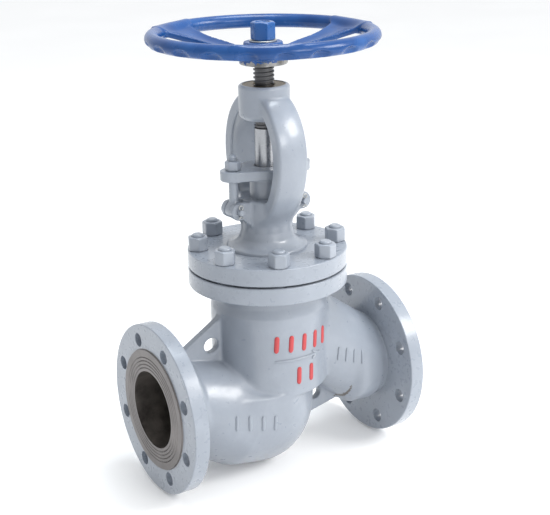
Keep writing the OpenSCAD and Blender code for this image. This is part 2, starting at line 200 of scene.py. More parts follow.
def turned(name, colour, roughness, axis, line_scale=2600.0, dark=0.6, metal=1.0):
    """Machined metal with fine turning lines: rings around axis, 0 for X or 2 for Z."""
    n = Nodes(name)
    split = n.add("ShaderNodeSeparateXYZ", {"Vector": n.place}).outputs
    a, b = [split[i] for i in range(3) if i != axis]
    if axis == 2:
        a = n.math("SUBTRACT", a, STEM_X * MM)
    radius = n.math("SQRT", n.math("ADD", n.math("MULTIPLY", a, a), n.math("MULTIPLY", b, b)))
    along = n.add("ShaderNodeCombineXYZ", {"X": radius, "Y": split[axis]}).outputs[0]
    lines = n.noise(line_scale, 2, 0.6, along)
    blotch = n.noise(30, 4, 0.6)
    base = n.mix(n.spread(blotch, 0.35, 0.75, 0, 0.7), colour, tuple(c * dark for c in colour))
    n.bump((lines, 0.25, 0.0001))
    rough = n.spread(lines, 0.3, 0.7, roughness - 0.07, roughness + 0.1)
    return n.set(Base_Color=base, Roughness=rough, Metallic=metal)


GREY = (0.258, 0.286, 0.332)
cast_paint = paint("cast_grey_paint", GREY, 0.30, 0.22, 0.33)
smooth_paint = paint("smooth_grey_paint", tuple(c * 1.04 for c in GREY), 0.05, 0.10, 0.30)
fastener_paint = paint("fastener_grey_paint", tuple(c * 1.02 for c in GREY), 0.12, 0.20, 0.32)
blue_nut_paint = paint("blue_nut_paint", (0.014, 0.085, 0.275), 0.12, 0.15, 0.28, 0.2)
red_paint = paint("red_marking_paint", (0.46, 0.045, 0.05), 0.10, 0.30, 0.42, 0.1)
face_steel = turned("raised_face_steel", (0.21, 0.195, 0.19), 0.40, 0, 1700)
stainless = turned("turned_stainless_steel", (0.58, 0.57, 0.55), 0.28, 2, dark=0.75)
bronze = turned("tarnished_bronze", (0.20, 0.155, 0.09), 0.38, 2)
satin_steel = turned("satin_stem_steel", (0.42, 0.43, 0.45), 0.30, 2, dark=0.8)
thread_steel = turned("dark_thread_steel", (0.13, 0.13, 0.135), 0.34, 2, dark=0.5)
zinc = turned("zinc_plated_steel", (0.52, 0.52, 0.50), 0.36, 2, dark=0.8)
black_steel = turned("blackened_steel", (0.045, 0.045, 0.05), 0.42, 2, metal=0.8)


def bore_metal():
    n = Nodes("bore_dark_steel")
    rust = n.noise(38, 5, 0.65)
    base = n.ramp(rust, (0.32, (0.11, 0.098, 0.092)), (0.55, (0.20, 0.18, 0.165)), (0.8, (0.30, 0.265, 0.24)))
    n.bump((n.noise(160, 4), 0.25, 0.0005))
    return n.set(Base_Color=base, Roughness=n.spread(rust, 0.3, 0.7, 0.34, 0.50), Metallic=0.75)


def wheel_enamel():
    """Gloss blue enamel, worn through to grey metal low on the hub with a ragged edge."""
    n = Nodes("handwheel_blue_enamel")
    split = n.add("ShaderNodeSeparateXYZ", {"Vector": n.place}).outputs
    x = n.math("SUBTRACT", split[0], STEM_X * MM)
    around = n.math("ARCTAN2", split[1], x)
    dx, dy = n.math("MULTIPLY", x, x), n.math("MULTIPLY", split[1], split[1])
    radius = n.math("SQRT", n.math("ADD", dx, dy))
    ragged = n.spread(n.noise(95, 4, 0.7), 0.3, 0.7, -0.006, 0.006)
    swing = n.math("MULTIPLY", n.math("SINE", n.math("ADD", around, 2.25)), 0.0035)
    line = n.math("ADD", n.math("ADD", ragged, swing), 0.4255)
    low = n.math("LESS_THAN", split[2], line)
    near = n.math("LESS_THAN", radius, 0.0325)
    bare = n.math("MULTIPLY", low, near)
    blotch = n.noise(25, 3, 0.55)
    blue = n.ramp(blotch, (0.3, (0.007, 0.046, 0.175)), (0.55, (0.010, 0.064, 0.225)),
                  (0.8, (0.018, 0.088, 0.28)))
    metal = n.ramp(n.noise(70, 4), (0.35, (0.10, 0.10, 0.095)), (0.7, (0.42, 0.41, 0.40)))
    n.bump((n.noise(60, 2), 0.25, 0.0012), (n.noise(380, 3), 0.10, 0.0003))
    return n.set(Base_Color=n.mix(bare, blue, metal), Roughness=n.spread(blotch, 0.3, 0.7, 0.22, 0.30),
                 Coat_Weight=0.12, Coat_Roughness=0.12, Specular_IOR_Level=0.30)


def graphite_mat():
    n = Nodes("flexible_graphite")
    weave = n.add("ShaderNodeTexWave", {"Vector": n.place}, Scale=420.0, Distortion=2.5).outputs["Fac"]
    base = n.ramp(weave, (0.2, (0.012, 0.012, 0.013)), (0.8, (0.035, 0.035, 0.038)))
    n.bump((weave, 0.35, 0.0003))
    return n.set(Base_Color=base, Roughness=n.spread(weave, 0, 1, 0.5, 0.72), Metallic=0.2)


def floor_mat():
    n = Nodes("pale_floor")
    base = n.ramp(n.noise(3, 2), (0.4, (0.92, 0.92, 0.92)), (0.6, (0.94, 0.94, 0.94)))
    return n.set(Base_Color=base, Roughness=0.85, Emission_Color=(1.0, 1.0, 1.0), Emission_Strength=0.10)


bore_steel = bore_metal()
blue_enamel = wheel_enamel()
graphite = graphite_mat()

# ------------------------------------------------------------------ solids from distance fields


def smin(a, b, k):
    h = np.clip(0.5 + 0.5 * (b - a) / k, 0, 1)
    return b + (a - b) * h - k * h * (1 - h)


def smax(a, b, k):
    return -smin(-a, -b, k)


def polygon(x, y, points):
    """Signed distance to a closed polygon, negative inside."""
    best = np.full(np.shape(x), 1e12, np.float32)
    sign = np.ones(np.shape(x), np.float32)
    n = len(points)
    for i in range(n):
        ax, ay = points[i]
        bx, by = points[(i + 1) % n]
        ex, ey = bx - ax, by - ay
        wx, wy = x - ax, y - ay
        t = np.clip((wx * ex + wy * ey) / (ex * ex + ey * ey), 0, 1)
        best = np.minimum(best, (wx - ex * t) ** 2 + (wy - ey * t) ** 2)
        if ey:
            crosses = ((ay > y) != (by > y)) & ((x < ex * (y - ay) / ey + ax))
            sign = np.where(crosses, -sign, sign)
    return sign * np.sqrt(best)


def limb(x, y, z, p, q, ra, rb):
    """Round-ended taper from p to q, both (x, z) in the stem plane."""
    ex, ez = q[0] - p[0], q[1] - p[1]
    t = np.clip(((x - p[0]) * ex + (z - p[1]) * ez) / (ex * ex + ez * ez), 0, 1)
    return np.sqrt((x - p[0] - ex * t) ** 2 + y * y + (z - p[1] - ez * t) ** 2) - (ra + (rb - ra) * t)


def drum(radial, along, r, low, high, rounding=0.0):
    """Cylinder of radius r from low to high along its axis."""
    a = radial - r + rounding
    b = np.abs(along - (low + high) / 2) - (high - low) / 2 + rounding
    return np.minimum(np.maximum(a, b), 0) + np.sqrt(np.maximum(a, 0) ** 2 + np.maximum(b, 0) ** 2) - rounding


def slab(flat, across, half, rounding):
    """A flat outline, given by its distance, extruded to a half thickness, with rounded edges."""
    a, b = flat + rounding, np.abs(across) - half + rounding
    return np.minimum(np.maximum(a, b), 0) + np.sqrt(np.maximum(a, 0) ** 2 + np.maximum(b, 0) ** 2) - rounding


def skin(field, low, high, step):
    """Vertices and quads of the surface where field(x, y, z) is zero, in mm, with corners on the surface."""
    low = np.array(low, np.float32)
    count = np.ceil((np.array(high) - low) / step).astype(int) + 1
    axes = [low[i] + step * np.arange(count[i], dtype=np.float32) for i in range(3)]
    d = field(*np.meshgrid(*axes, indexing="ij")).astype(np.float32)
    cells = count - 1
    total = int(np.prod(cells))
    number = np.zeros(total)
    sums = np.zeros((3, total))
    quads = []
    for a in range(3):
        b, c = (a + 1) % 3, (a + 2) % 3
        first = np.take(d, range(count[a] - 1), axis=a)
        second = np.take(d, range(1, count[a]), axis=a)
        at = np.argwhere((first < 0) != (second < 0))
        at = at[(at[:, b] > 0) & (at[:, c] > 0) & (at[:, b] < cells[b]) & (at[:, c] < cells[c])]
        d0, d1 = first[tuple(at.T)], second[tuple(at.T)]
        point = at.astype(np.float64)
        point[:, a] += d0 / (d0 - d1)
        corners = []
        for db, dc in ((0, 0), (1, 0), (1, 1), (0, 1)):
            cell = at.copy()
            cell[:, b] -= db
            cell[:, c] -= dc
            flat = np.ravel_multi_index(tuple(cell.T), tuple(cells))
            corners.append(flat)
            number += np.bincount(flat, minlength=total)
            for i in range(3):
                sums[i] += np.bincount(flat, weights=point[:, i], minlength=total)
        quad = np.stack(corners, 1)
        outward = d0 < 0
        quads.append(np.where(outward[:, None], quad, quad[:, ::-1]))
    quads = np.concatenate(quads)
    used = np.unique(quads)
    index = np.full(total, -1)
    index[used] = np.arange(len(used))
    verts = (sums[:, used] / number[used]).T * step + low
    for _ in range(3):
        value = field(*verts.T)
        h = 0.05 * step
        slopes = [field(*(verts + h * way).T) - field(*(verts - h * way).T) for way in np.eye(3)]
        grad = np.stack(slopes, 1)
        grad /= 2 * h
        size = np.maximum((grad ** 2).sum(1), 0.3)
        move = -value[:, None] * grad / size[:, None]
        verts = verts + np.clip(move, -0.6 * step, 0.6 * step)
    return verts, index[quads]


def lathe(profile, segments=128, axis="z", at=(0, 0, 0)):
    """Solid of revolution from (radius, height) pairs.

    The first and last points lie on the axis, or the profile closes on itself.
    """
    rings, verts, faces = [], [], []
    closed = profile[0][0] > 0 or profile[-1][0] > 0
    for r, h in profile:
        start = len(verts)
        if r == 0:
            verts.append((0, 0, h))
            rings.append([start] * segments)
        else:
            for i in range(segments):
                t = 2 * math.pi * i / segments
                verts.append((r * math.cos(t), r * math.sin(t), h))
            rings.append(list(range(start, start + segments)))
    pairs = list(zip(rings, rings[1:])) + ([(rings[-1], rings[0])] if closed else [])
    for a, b in pairs:
        for i in range(segments):
            j = (i + 1) % segments
            face = [a[i], a[j], b[j], b[i]]
            face = [v for k, v in enumerate(face) if v not in face[:k]]
            if len(face) > 2:
                faces.append(face)
    verts = np.array(verts, float)
    if axis == "x":
        verts = verts[:, [2, 0, 1]]
    elif axis == "y":
        verts = verts[:, [1, 2, 0]]
    return verts + np.array(at, float), faces


def screw(major, minor, pitch, low, high, segments=48, crest=0.30, root=0.30):
    """A right-hand thread with closed ends."""
    flank = (1 - crest - root) / 2
    phases = [0, crest, crest + flank, crest + flank + root]
    verts, faces = [], []
    rows = [k + p for k in range(int((low / pitch)) - 2, int(high / pitch) + 3) for p in phases]

    def radius(phase):
        p = phase % 1.0
        if p <= crest:
            return major
        if p <= crest + flank:
            return major + (minor - major) * (p - crest) / flank
        if p <= crest + flank + root:
            return minor
        return minor + (major - minor) * (p - crest - flank - root) / flank

    for row in rows:
        for i in range(segments + 1):
            turn = i / segments
            z = min(max((row + turn) * pitch, low), high)
            r = radius(z / pitch - turn)
            t = 2 * math.pi * turn
            verts.append((r * math.cos(t), r * math.sin(t), z))
    width = segments + 1
    for k in range(len(rows) - 1):
        for i in range(segments):
            a = k * width + i
            faces.append([a, a + 1, a + 1 + width, a + width])
    return np.array(verts), faces


# ------------------------------------------------------------------ meshes into objects


def make(name, parts, offset=(STEM_X, 0, 0), merge=0.0):
    """One object from several (vertices, faces) parts, given in mm from the stem axis."""
    verts, faces, base = [], [], 0
    for v, f in parts:
        verts.append(np.asarray(v, float))
        faces.extend([[int(i) + base for i in face] for face in f])
        base += len(v)
    mesh = bpy.data.meshes.new(name)
    mesh.from_pydata(((np.concatenate(verts) + np.array(offset)) * MM).tolist(), [], faces)
    mesh.update()
    obj = bpy.data.objects.new(name, mesh)
    bpy.context.scene.collection.objects.link(obj)
    bm = bmesh.new()
    bm.from_mesh(mesh)
    if merge:
        bmesh.ops.remove_doubles(bm, verts=bm.verts, dist=merge)
        bmesh.ops.dissolve_degenerate(bm, edges=bm.edges, dist=1e-7)
        holes = [e for e in bm.edges if e.is_boundary]
        if holes:
            bmesh.ops.holes_fill(bm, edges=holes, sides=0)
    bmesh.ops.recalc_face_normals(bm, faces=bm.faces)
    bm.to_mesh(mesh)
    bm.free()
    return obj


def combine(obj, parts, operation, **options):
    """Adds, cuts or keeps the overlap of obj with the given parts."""
    tool = make(obj.name + "_tool", parts, **options)
    step = obj.modifiers.new("step", "BOOLEAN")
    step.operation = operation
    step.solver = "MANIFOLD"
    step.object = tool
    before = len(obj.data.polygons)
    graph = bpy.context.evaluated_depsgraph_get()
    result = bpy.data.meshes.new_from_object(obj.evaluated_get(graph))
    if not len(result.polygons) or len(result.polygons) == before:
        step.solver = "EXACT"
        graph = bpy.context.evaluated_depsgraph_get()
        result = bpy.data.meshes.new_from_object(obj.evaluated_get(graph))
    obj.modifiers.clear()
    obj.data = result
    bpy.data.objects.remove(tool)
    return obj


def finish_piece(obj, body, nodes, materials, sharp=32, chooser=None, weighted=True):
    mesh = obj.data
    mesh.materials.clear()
    for m in materials:
        mesh.materials.append(m)
    mesh.polygons.foreach_set("use_smooth", [True] * len(mesh.polygons))
    if chooser:
        centre = np.zeros(len(mesh.polygons) * 3)
        normal = np.zeros(len(mesh.polygons) * 3)
        mesh.polygons.foreach_get("center", centre)
        mesh.polygons.foreach_get("normal", normal)
        centre = centre.reshape(-1, 3) / MM - np.array((STEM_X, 0, 0))
        mesh.polygons.foreach_set("material_index", chooser(centre, normal.reshape(-1, 3)).astype(int))
    else:
        mesh.polygons.foreach_set("material_index", [0] * len(mesh.polygons))
    mesh.set_sharp_from_angle(angle=math.radians(sharp))
    mesh.update()
    if weighted:
        w = obj.modifiers.new("weighted", "WEIGHTED_NORMAL")
        w.keep_sharp = True
    if nodes:
        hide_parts(*nodes)
    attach(obj, body)
    return obj


def spun(part, angle, centre=(0, 0)):
    v, f = part
    c, s = math.cos(math.radians(angle)), math.sin(math.radians(angle))
    x, y = v[:, 0] - centre[0], v[:, 1] - centre[1]
    return np.stack([x * c - y * s + centre[0], x * s + y * c + centre[1], v[:, 2]], 1), f


def moved(part, by):
    return part[0] + np.array(by, float), part[1]


def ring_of(part, count, radius, first=0.0):
    """Copies of a part, made at the origin, around the stem axis."""
    return [spun(moved(part, (radius, 0, 0)), first + 360 * i / count) for i in range(count)]


def plug(r, low, high, segments=64, axis="z", at=(0, 0, 0)):
    return lathe([(0, low), (r, low), (r, high), (0, high)], segments, axis, at)


def rounded(r, low, high, edge, steps=4, inner=0.0):
    """Outline of a disc or ring with rounded outer edges, for lathe."""
    lower = [(r - edge + edge * math.sin(a), low + edge - edge * math.cos(a))
             for a in np.linspace(0, math.pi / 2, steps + 1)]
    upper = [(r - edge + edge * math.cos(a), high - edge + edge * math.sin(a))
             for a in np.linspace(0, math.pi / 2, steps + 1)]
    return [(inner, low)] + lower + upper + [(inner, high)]


# ------------------------------------------------------------------ body casting

PORT_R, LIMB_R, BODY_TOP = 50.0, 60.0, 162.0
FLANGE_R, FLANGE_T, RAISED_R = 110.0, 22.0, 78.0
BONNET_R, STUD_R = 102.5, 89.0
BOWL_X = -20.0


def body_outside(x, y, z):
    r = np.sqrt(x * x + y * y)
    across = np.sqrt(y * y + z * z)
    chest = polygon(r, z, [(-30, 7), (71.5, 7), (71.5, 110), (68.5, 122), (68.5, 146), (-30, 146)]) - 4
    collar = drum(r, z, 78, 142.5, 160, 2)
    upper = smin(chest, collar, 9)
    bx = x - BOWL_X
    squeeze = 1 + 0.10 * np.clip(bx / 74, 0, 1) * np.clip((-z - 10) / 70, 0, 1)
    br = np.sqrt((bx * squeeze) ** 2 + y * y)
    below = [(70 * math.cos(a) ** 1.25, -25 - 83 * math.sin(a)) for a in np.linspace(0, 1.5, 14)]
    bowl = polygon(br, z, [(-30, 5), (70, 5)] + below + [(-30, -108)]) - 4
    inlet = limb(x, y, z, (-140, 0), (-62, -30), 58.5, 72)
    stub = drum(across, x, LIMB_R, -173, -128, 2)
    lower = smin(smin(inlet, stub, 8), bowl, 16)
    lower = smin(lower, drum(across, x, 74, -172, -155.5, 2), 9)
    outlet = limb(x, y, z, (134, 0), (20, 80), 58, 58.5)
    shoulder = drum(across, x, 60.5, 108, 148, 11)
    outlet = smin(outlet, shoulder, 10)
    neck = smin(drum(across, x, 57, 120, 173, 2), drum(across, x, 70, 155.5, 172, 2), 7)
    outlet = smin(outlet, neck, 4)
    inlet_rib = polygon(x, z, [(-156, 40), (-156, 53), (-71, 107), (-60, 107), (-60, 40)])
    inlet_rib = smax(inlet_rib, 10 - np.sqrt((x + 90) ** 2 + (z - 69) ** 2), 2)
    outlet_rib = polygon(x, z, [(30, -10), (30, -66), (52, -66), (128, -48), (128, -20), (80, -10)])
    outlet_rib = smax(outlet_rib, 9 - np.sqrt((x - 68) ** 2 + (z + 38) ** 2), 2)
    d = smin(upper, lower, 5)
    d = smin(d, outlet, 6)
    return smin(d, smin(slab(inlet_rib, y, 6, 2), slab(outlet_rib, y, 6, 2), 1), 5)


def body_field(x, y, z):
    r = np.sqrt(x * x + y * y)
    across = np.sqrt(y * y + z * z)
    mouth = np.minimum(drum(across, x, PORT_R - 0.5, -190, -130), drum(across, x, PORT_R - 0.5, 130, 190))
    under = np.minimum(limb(x, y, z, (-132, 0), (-40, -46), 49, 48),
                       np.sqrt((x + 27) ** 2 + y * y + (z + 46) ** 2) - 56)
    throat = drum(r, z, 42, -46, 20)
    chamber = drum(r, z, 61.5, 28, 170)
    seat_pocket = drum(r, z, 53.5, 16, 40)
    leave = np.maximum(limb(x, y, z, (132, 0), (20, 80), 49, 47), np.minimum(61 - x, 28 - z))
    hollow = smin(smin(mouth, under, 6), np.minimum(throat, seat_pocket), 2)
    hollow = np.minimum(hollow, smin(chamber, leave, 4))
    shell = smax(body_outside(x, y, z), -hollow, 1.2)
    return np.maximum(shell, np.abs(x) - 174)  # the limbs end inside the flanges


def end_flange(side):
    grooves = []
    for g in (53.5, 58.0, 62.5, 67.0):
        grooves += [(g, 0), (g + 0.9, -0.9), (g + 1.8, 0)]
    quarter = np.linspace(0, math.pi / 2, 4)
    edge_r = 1.5
    inner = FLANGE_R - edge_r
    edge = [(inner + edge_r * math.sin(a), -FLANGE_T + edge_r - edge_r * math.cos(a)) for a in quarter]
    edge += [(inner + edge_r * math.cos(a), -3.5 + edge_r * math.sin(a)) for a in quarter]
    profile = [(0, -FLANGE_T)] + edge + [(RAISED_R + 0.6, -2), (RAISED_R, -1.6), (RAISED_R - 0.4, 0)]
    profile += grooves[::-1] + [(0, 0)]
    v, f = lathe(profile, 160, "x")
    return (v * np.array((side, 1, 1)) + np.array((side * STEM_X, 0, 0)), f)


def bolt_holes(x0, x1, r):
    holes = []
    for i in range(8):
        t = math.radians(22.5 + 45 * i)
        holes.append(plug(r, x0, x1, 40, "x", (0, 90 * math.cos(t), 90 * math.sin(t))))
    return holes


body = make("valve_body_casting", [skin(body_field, (-178, -84, -118), (178, 84, 166), 2.0)])
combine(body, [end_flange(-1), end_flange(1), lathe(rounded(BONNET_R, 140, BODY_TOP, 1.6), 160)], "UNION")
cuts = bolt_holes(-180, -150, 9) + bolt_holes(150, 180, 9.25)
cuts += [plug(PORT_R, -180, -131, 128, "x"), plug(PORT_R, 131, 180, 128, "x")]
cuts += [plug(62, 120, 170, 128)]
cuts += ring_of(plug(8, BODY_TOP - 20, 170, 32), 8, STUD_R, 22.5)
combine(body, cuts, "DIFFERENCE")


def body_materials(c, n):
    across = np.hypot(c[:, 1], c[:, 2])
    r = np.hypot(c[:, 0], c[:, 1])
    kind = np.zeros(len(c))
    flange = (np.abs(c[:, 0]) > 152.5) & (across > 66)
    kind[flange] = 1
    kind[(c[:, 2] > 139.9) & (r > 79)] = 1
    kind[(np.abs(c[:, 0]) > 173.2) & (across < RAISED_R + 0.3)] = 2
    kind[(across < PORT_R + 0.6) & (np.abs(c[:, 0]) > 100)] = 3
    kind[body_outside(*c.T) < -3] = 3
    flat_end = (np.abs(n[:, 0]) > 0.9) & (np.abs(c[:, 0]) > 170)
    kind[flat_end & (across < RAISED_R)] = 2
    return kind


body_coats = [cast_paint, smooth_paint, face_steel, bore_steel]
finish_piece(body, "root", ["valve_body"], body_coats, 32, body_materials)

# ------------------------------------------------------------------ bonnet and yoke

BONNET_Z, BONNET_TOP, NECK_TOP = 164.5, 186.5, 252.0
HEAD_LOW, HEAD_TOP, HEAD_R = 352.0, 395.0, 32.0
YOKE_R = 69.0
GLAND_X, PIN_Z = 47.5, 241.0


def ellipse(r, h, a, b):
    k0 = np.sqrt((r / a) ** 2 + (h / b) ** 2)
    k1 = np.sqrt((r / a ** 2) ** 2 + (h / b ** 2) ** 2)
    return k0 * (k0 - 1) / np.maximum(k1, 1e-6)


def bonnet_field(x, y, z):
    r = np.sqrt(x * x + y * y)
    pad = drum(r, z, 52, 178, 190.5, 2.5)
    cone = polygon(r, z, [(-30, 180), (40, 188), (33, 199), (30, 210), (30, 249), (-30, 249)]) - 3
    base = smin(pad, cone, 10)
    h = z - 308
    outer = np.where(h < 0, ellipse(r, h, YOKE_R, 92), ellipse(r, h, YOKE_R, 82))
    inner = np.where(h < 0, ellipse(r, h, YOKE_R - 16, 78), ellipse(r, h, YOKE_R - 16, 66))
    arms = smax(outer, -inner, 3)
    arms = smax(arms, np.abs(x) - 21, 4)
    head = polygon(r, z, [(-30, HEAD_LOW + 3), (HEAD_R - 6, HEAD_LOW + 3), (HEAD_R - 3, HEAD_LOW + 6),
                          (HEAD_R - 3, HEAD_TOP - 3.6), (HEAD_R - 3.6, HEAD_TOP - 3),
                          (-30, HEAD_TOP - 3)]) - 3
    d = smin(base, arms, 9)
    d = smin(d, head, 3)
    ax = np.abs(x)
    plate = polygon(ax, z, [(22, 211), (GLAND_X - 4, PIN_Z - 10), (GLAND_X + 4, PIN_Z - 8),
                            (GLAND_X + 10.5, PIN_Z), (GLAND_X + 6, PIN_Z + 9),
                            (GLAND_X - 6, PIN_Z + 11.5), (22, NECK_TOP - 1)]) + 1.5
    plate = smin(plate - 1.5, np.sqrt((ax - GLAND_X) ** 2 + (z - PIN_Z) ** 2) - 10.8, 3)
    cheek = slab(plate, np.abs(y) - 10.3, 4, 1.2)
    return smin(d, cheek, 3)


bonnet = make("bonnet_casting", [skin(bonnet_field, (-64, -73, 174), (64, 73, 399), 1.6)])
combine(bonnet, [lathe(rounded(BONNET_R, BONNET_Z, BONNET_TOP, 1.6), 160),
                 lathe(rounded(60.8, BONNET_Z - 12, BONNET_Z + 4, 1.0), 128)], "UNION")
cuts = [lathe([(0, 100), (48, 100), (48, 151.5), (30, BONNET_Z), (24, BONNET_Z), (24, 156.4), (24, 164.5),
               (20, 164.5), (20, 184.5), (13.8, 184.5), (13.8, 200), (21, 200), (21, 258), (0, 258)], 96)]
cuts += [lathe([(0, 335), (20, 335), (20, 390), (27, 390), (27, 410), (0, 410)], 96)]
cuts += ring_of(plug(9, 160, 200, 40), 8, STUD_R, 22.5)
for side in (-1, 1):
    cuts += [plug(4, -30, 30, 40, "y", (side * GLAND_X, 0, PIN_Z))]
combine(bonnet, cuts, "DIFFERENCE")


def bonnet_materials(c, n):
    r = np.hypot(c[:, 0], c[:, 1])
    kind = np.zeros(len(c))
    kind[(c[:, 2] < BONNET_TOP + 0.2) & (r > 60)] = 1
    kind[(c[:, 2] < 210) & (r < 60) & (c[:, 2] < BONNET_Z + 21) & (n[:, 2] < -0.3)] = 2
    return kind


bonnet_coats = [cast_paint, smooth_paint, bore_steel]
finish_piece(bonnet, "root", ["bonnet"], bonnet_coats, 32, bonnet_materials)

# ------------------------------------------------------------------ studs and nuts


def nut_part(across_flats, height, bore, step=0.9, soft=1.1):
    """Hexagon nut chamfered at both ends, its edges softened by paint."""

    def field(x, y, z):
        d = np.full(np.shape(x), -1e9)
        for i in range(3):
            t = math.radians(60 * i)
            d = smax(d, np.abs(x * math.cos(t) + y * math.sin(t)) - across_flats / 2, soft)
        d = smax(d, np.abs(z - height / 2) - height / 2, soft * 0.8)
        r = np.sqrt(x * x + y * y)
        upper = (r - across_flats / 2) * 0.5 + (z - height) * 0.866 + 0.5
        lower = (r - across_flats / 2) * 0.5 - z * 0.866 + 0.2
        d = smax(smax(d, upper, 0.8), lower, 0.6)
        return smax(d, bore - r, 0.5)

    reach = across_flats / 2 / math.cos(math.pi / 6) + 2
    return skin(field, (-reach, -reach, -2), (reach, reach, height + 2), step)


nut = nut_part(24, 18, 8.0)
nuts = make("bonnet_nut_set", [moved(p, (0, 0, BONNET_TOP)) for p in ring_of(nut, 8, STUD_R, 22.5)])
finish_piece(nuts, "root", ["bonnet_nuts"], [fastener_paint], 60, weighted=False)

stud = lathe([(0, 142), (6.8, 142), (7.9, 143.5), (7.9, 205.2), (7.3, 206.6), (5.8, 207.6), (5.0, 207.4),
              (0, 207.6)], 40)
studs = make("bonnet_stud_set", ring_of(stud, 8, STUD_R, 22.5))
finish_piece(studs, "root", ["bonnet_studs"], [fastener_paint], 40)

# ------------------------------------------------------------------ gland

GLAND_Z, GLAND_T = 279.7, 12.7


def gland_field(x, y, z):
    ax = np.abs(x)
    flat = smin(np.sqrt(x * x + y * y) - 31.5, np.sqrt((ax - GLAND_X) ** 2 + y * y) - 16.3, 1)
    flat = smin(flat, polygon(ax, y, [(-5, -31), (5, -31), (51, -15.6), (51, 15.6), (5, 31), (-5, 31)]), 3)
    return slab(flat, z - GLAND_Z - GLAND_T / 2, GLAND_T / 2, 1.4)


gland = make("gland_flange_casting", [skin(gland_field, (-68, -36, 276), (68, 36, 296), 1.3)])
cuts = [lathe([(0, 270), (21, 270), (21, 285.7), (14.5, 285.7), (14.5, 300), (0, 300)], 64)]
cuts += [plug(6.8, 270, 300, 40, "z", (side * GLAND_X, 0, 0)) for side in (-1, 1)]
combine(gland, cuts, "DIFFERENCE")
finish_piece(gland, "gland", ["gland_flange"], [cast_paint], 40)

small_nut = nut_part(18, 12, 6.1, 0.8, 0.9)
for side, name in ((-1, "inlet"), (1, "outlet")):
    piece = make(f"gland_hex_nut_{name}", [moved(small_nut, (side * GLAND_X, 0, GLAND_Z + GLAND_T))])
    node = f"gland_nut_{name}"
    finish_piece(piece, node, [node], [fastener_paint], 60, weighted=False)


def eye_field(x, y, z):
    r = np.sqrt(x * x + y * y)
    eye = drum(np.sqrt(x * x + (z - PIN_Z) ** 2), y, 10.5, -6, 6, 1.2)
    shank = drum(r, z, 5.9, PIN_Z, 288.0)
    d = smin(eye, shank, 4)
    return smax(d, 4.1 - np.sqrt(x * x + (z - PIN_Z) ** 2), 0.8)


eye = skin(eye_field, (-13, -9, 228), (13, 9, 290), 0.9)
eye_thread = screw(5.98, 5.2, 1.75, 284.0, 310.4, 40, 0.18, 0.18)
eye_tip = lathe([(0, 309.0), (5.4, 309.0), (5.4, 310.4), (4.4, 311.4), (0, 311.4)], 40)
for side, name in ((-1, "inlet"), (1, "outlet")):
    threads = make(f"eye_bolt_thread_{name}", [moved(eye_thread, (side * GLAND_X, 0, 0))], merge=1e-6)
    combine(threads, [moved(eye_tip, (side * GLAND_X, 0, 0))], "UNION")
    piece = make(f"eye_bolt_forging_{name}", [moved(eye, (side * GLAND_X, 0, 0))])
    node = f"eye_bolt_{name}"
    finish_piece(piece, "root", [node], [fastener_paint], 60, weighted=False)
    finish_piece(threads, "root", [], [fastener_paint], 35, weighted=False)


def pin_profile():
    half = 14.3
    return [(0, -half - 6), (3.2, -half - 6), (3.95, -half - 5.2), (3.95, half), (7.6, half), (8, half + 0.6),
            (8, half + 2.2), (7.0, half + 3), (0, half + 3)]


pin_parts = [lathe(pin_profile(), 40, "y", (side * GLAND_X, 0, PIN_Z)) for side in (-1, 1)]
pins = make("eye_bolt_pin_set", pin_parts)
finish_piece(pins, "root", ["eye_bolt_pins"], [fastener_paint], 40)


def tube(path, radius, segments=12):
    """Round wire along a list of points, with closed ends."""
    path = [Vector(p) for p in path]
    verts, faces = [], []
    side = None
    for i, p in enumerate(path):
        ahead = (path[min(i + 1, len(path) - 1)] - path[max(i - 1, 0)]).normalized()
        if side is None:
            side = ahead.orthogonal().normalized()
        side = (side - ahead * side.dot(ahead)).normalized()
        up = ahead.cross(side)
        for k in range(segments):
            t = 2 * math.pi * k / segments
            verts.append(p + (side * math.cos(t) + up * math.sin(t)) * radius)
    for i in range(len(path) - 1):
        for k in range(segments):
            a, b = i * segments + k, i * segments + (k + 1) % segments
            faces.append([a, b, b + segments, a + segments])
    faces.append(list(range(segments))[::-1])
    faces.append([len(verts) - segments + k for k in range(segments)])
    return np.array([tuple(v) for v in verts]), faces


def cotter(side):
    """Split pin through the eye bolt pin: a loop above, two legs below bent apart."""
    cx, cy = side * GLAND_X, -17.6
    loop_r, gap = 2.7, 0.35
    turn = np.linspace(gap, 2 * math.pi - gap, 17)
    loop = [(cx + loop_r * math.sin(t), cy, PIN_Z + 6.6 - loop_r * math.cos(t)) for t in turn]
    legs = []
    for way, end in ((1, loop[0]), (-1, loop[-1])):
        down = [(cx + way * 0.62, cy, z) for z in np.linspace(PIN_Z + 3.2, PIN_Z - 4.6, 6)]
        bend = [(cx + way * (0.62 + 3.6 * (1 - math.cos(t))), cy, PIN_Z - 4.6 - 2.6 * math.sin(t))
                for t in np.linspace(0.3, 1.4, 5)]
        legs.append(down + bend)
    path = legs[0][::-1] + loop + legs[1]
    return tube(path, 0.62, 10)


cotters = make("cotter_pin_set", [cotter(-1), cotter(1)])
finish_piece(cotters, "root", ["cotter_pins"], [zinc], 60, weighted=False)

follower = [(13.3, 244), (20.95, 244), (20.95, 275.7), (26.4, 275.7), (27, 276.3), (27, 279.1), (26.4, 279.7),
            (20.95, 279.7), (20.95, 285.6), (13.3, 285.6)]
sleeve = make("gland_follower_sleeve", [lathe(follower, 96)])
finish_piece(sleeve, "gland", ["gland_follower"], [cast_paint], 30)

# ------------------------------------------------------------------ stem

